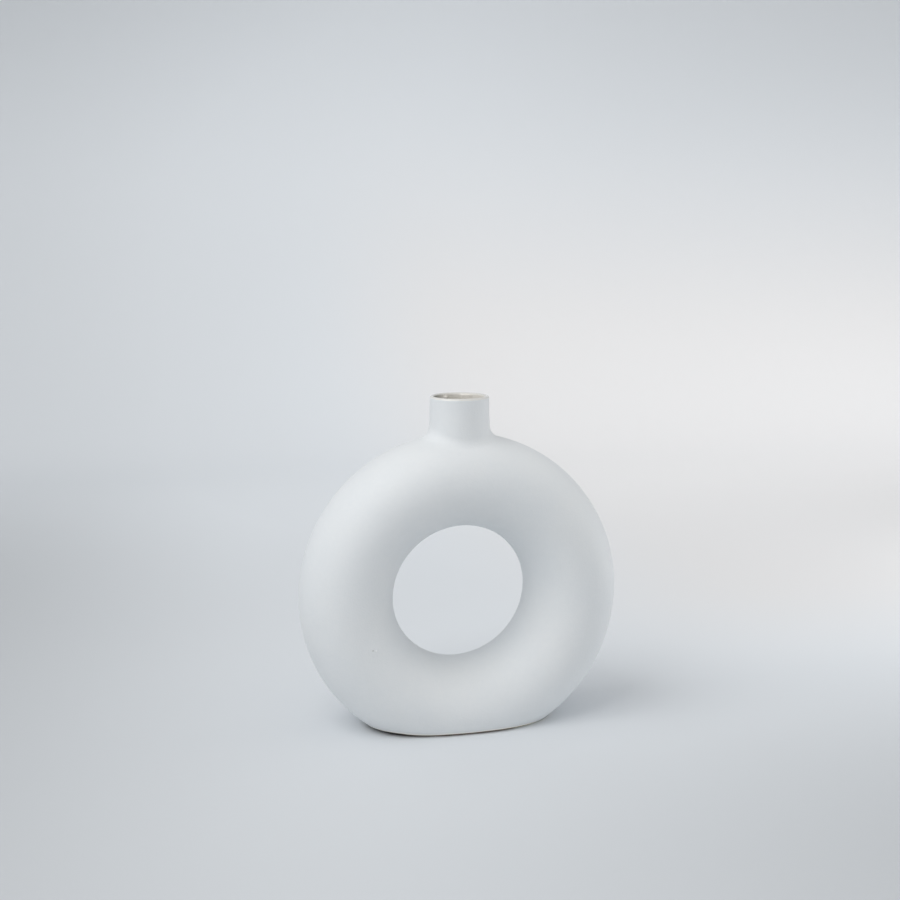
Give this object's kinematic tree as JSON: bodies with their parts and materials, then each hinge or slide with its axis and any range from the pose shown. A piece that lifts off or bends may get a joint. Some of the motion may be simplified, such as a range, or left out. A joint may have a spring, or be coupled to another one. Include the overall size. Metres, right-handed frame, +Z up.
{
  "type": "donut vase",
  "caption": "Ring-shaped matte ceramic vase with an open centre, a flat foot and a short round neck with a glazed lip.",
  "frame": {"origin": "middle of the foot's flat underside, on the surface that the vase stands on", "axes": "+Z up through the neck, X across the ring, Y from front to back through the ring's hole"},
  "size_m": [0.2, 0.066, 0.2051],
  "materials": {
    "white_stoneware": "matte",
    "cream_glaze": "gloss",
    "foot_stoneware": "matte"
  },
  "bodies": {
    "root": {"front_shell": "white_stoneware", "back_shell": "white_stoneware", "neck_collar": "white_stoneware", "mouth_glaze": "cream_glaze", "foot_slab": "foot_stoneware"}
  },
  "joints": []
}
